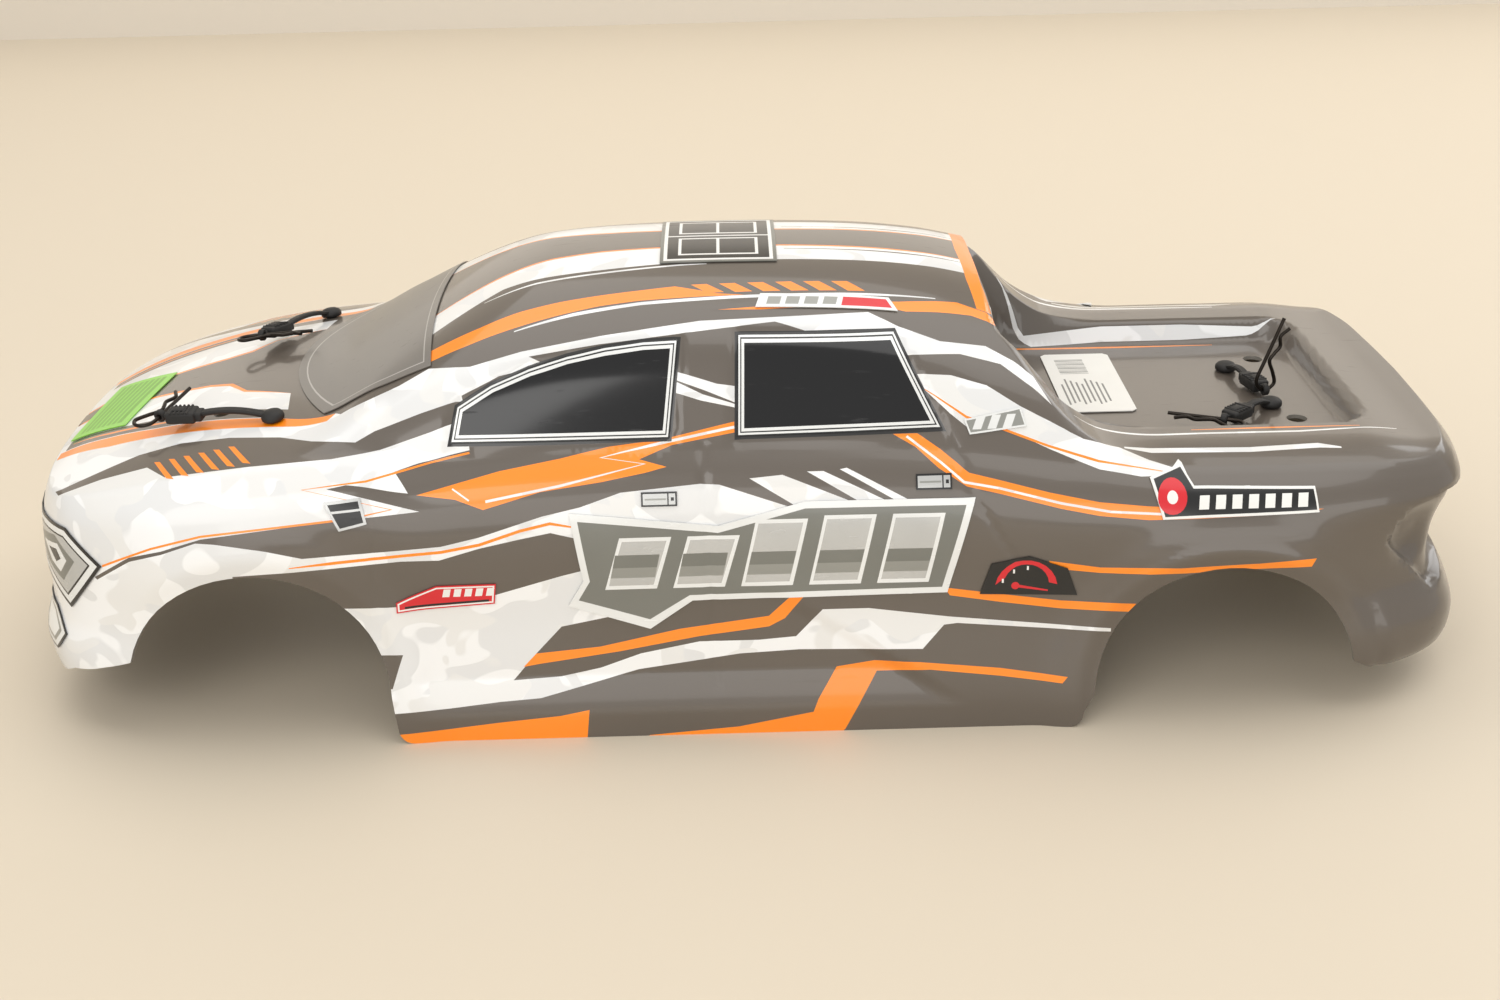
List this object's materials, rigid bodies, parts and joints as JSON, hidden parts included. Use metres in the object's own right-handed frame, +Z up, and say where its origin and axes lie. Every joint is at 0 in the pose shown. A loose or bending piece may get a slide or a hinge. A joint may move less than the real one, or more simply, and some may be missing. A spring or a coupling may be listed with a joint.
{
  "type": "model truck body shell",
  "caption": "Painted plastic pickup body shell for a radio-controlled monster truck, with cut wheel arches, stickers, rubber clip tethers and wire body clips.",
  "frame": {"origin": "centre of the footprint, on the plane that the two door sills stand on", "axes": "-X towards the nose, +X towards the tail, -Y the truck's own left side, +Z up"},
  "size_m": [0.5602, 0.2292, 0.1608],
  "materials": {
    "painted_shell": "satin",
    "smoke_satin_film": "satin",
    "black_window_film": "gloss",
    "grille_film": "satin",
    "lamp_film": "gloss",
    "silver_film": "gloss",
    "red_film": "gloss",
    "black_film": "gloss",
    "white_label": "matte",
    "green_label": "satin",
    "black_rubber": "matte",
    "black_wire": "satin"
  },
  "bodies": {
    "shell": {"body_shell": "painted_shell", "windshield_decal": "smoke_satin_film", "rear_window_decal": "black_window_film", "grille_decal": "grille_film", "roof_plate_decal": "black_film", "hood_label": "green_label", "bed_label": "white_label", "side_window_front_left": "black_window_film", "side_window_rear_left": "black_window_film", "headlight_decal_left": "lamp_film", "fog_light_decal_left": "lamp_film", "front_door_handle_left": "silver_film", "rear_door_handle_left": "silver_film", "fender_vent_badge_left": "black_film", "door_emblem_left": "silver_film", "quarter_badge_left": "silver_film", "rear_fender_badge_left": "red_film", "front_fender_badge_left": "red_film", "gauge_badge_left": "red_film", "roof_badge_left": "red_film", "side_window_front_right": "black_window_film", "side_window_rear_right": "black_window_film", "headlight_decal_right": "lamp_film", "fog_light_decal_right": "lamp_film", "front_door_handle_right": "silver_film", "rear_door_handle_right": "silver_film", "fender_vent_badge_right": "black_film", "door_emblem_right": "silver_film", "quarter_badge_right": "silver_film", "rear_fender_badge_right": "red_film", "front_fender_badge_right": "red_film", "gauge_badge_right": "red_film", "roof_badge_right": "red_film"},
    "tether_front_left": {"clip_tether_front_left": "black_rubber"},
    "clip_front_left": {"body_clip_front_left": "black_wire"},
    "tether_front_right": {"clip_tether_front_right": "black_rubber"},
    "clip_front_right": {"body_clip_front_right": "black_wire"},
    "tether_rear_left": {"clip_tether_rear_left": "black_rubber"},
    "clip_rear_left": {"body_clip_rear_left": "black_wire"},
    "tether_rear_right": {"clip_tether_rear_right": "black_rubber"},
    "clip_rear_right": {"body_clip_rear_right": "black_wire"}
  },
  "joints": [
    {"name": "front_left_tether_swivel", "type": "hinge", "parent": "shell", "child": "tether_front_left", "pos_m": [-0.177, -0.06, 0.1108], "axis": [-0.0859, -0.1199, 0.9891], "range_deg": [-30, 30]},
    {"name": "front_left_clip_flip", "type": "hinge", "parent": "tether_front_left", "child": "clip_front_left", "pos_m": [-0.22156, -0.05297, 0.11102], "axis": [-0.2909, -0.9465, -0.14], "range_deg": [-110, 30]},
    {"name": "front_right_tether_swivel", "type": "hinge", "parent": "shell", "child": "tether_front_right", "pos_m": [-0.177, 0.06, 0.1108], "axis": [-0.0859, 0.1199, 0.9891], "range_deg": [-40, 20]},
    {"name": "front_right_clip_flip", "type": "hinge", "parent": "tether_front_right", "child": "clip_front_right", "pos_m": [-0.19801, 0.02056, 0.11699], "axis": [0.9878, -0.1193, 0.1003], "range_deg": [-95, 30]},
    {"name": "rear_left_tether_swivel", "type": "hinge", "parent": "shell", "child": "tether_rear_left", "pos_m": [0.213, -0.021, 0.09], "axis": [0, 0, 1], "range_deg": [-40, 5]},
    {"name": "rear_left_clip_flip", "type": "hinge", "parent": "tether_rear_left", "child": "clip_rear_left", "pos_m": [0.1885, -0.0431, 0.0942], "axis": [0.9261, -0.3773, 0], "range_deg": [-120, 5]},
    {"name": "rear_right_tether_swivel", "type": "hinge", "parent": "shell", "child": "tether_rear_right", "pos_m": [0.205, 0.021, 0.09], "axis": [0, 0, 1], "range_deg": [-30, 35]},
    {"name": "rear_right_clip_flip", "type": "hinge", "parent": "tether_rear_right", "child": "clip_rear_right", "pos_m": [0.21298, -0.01102, 0.0936], "axis": [0.9703, 0.2419, 0], "range_deg": [-35, 55]}
  ]
}
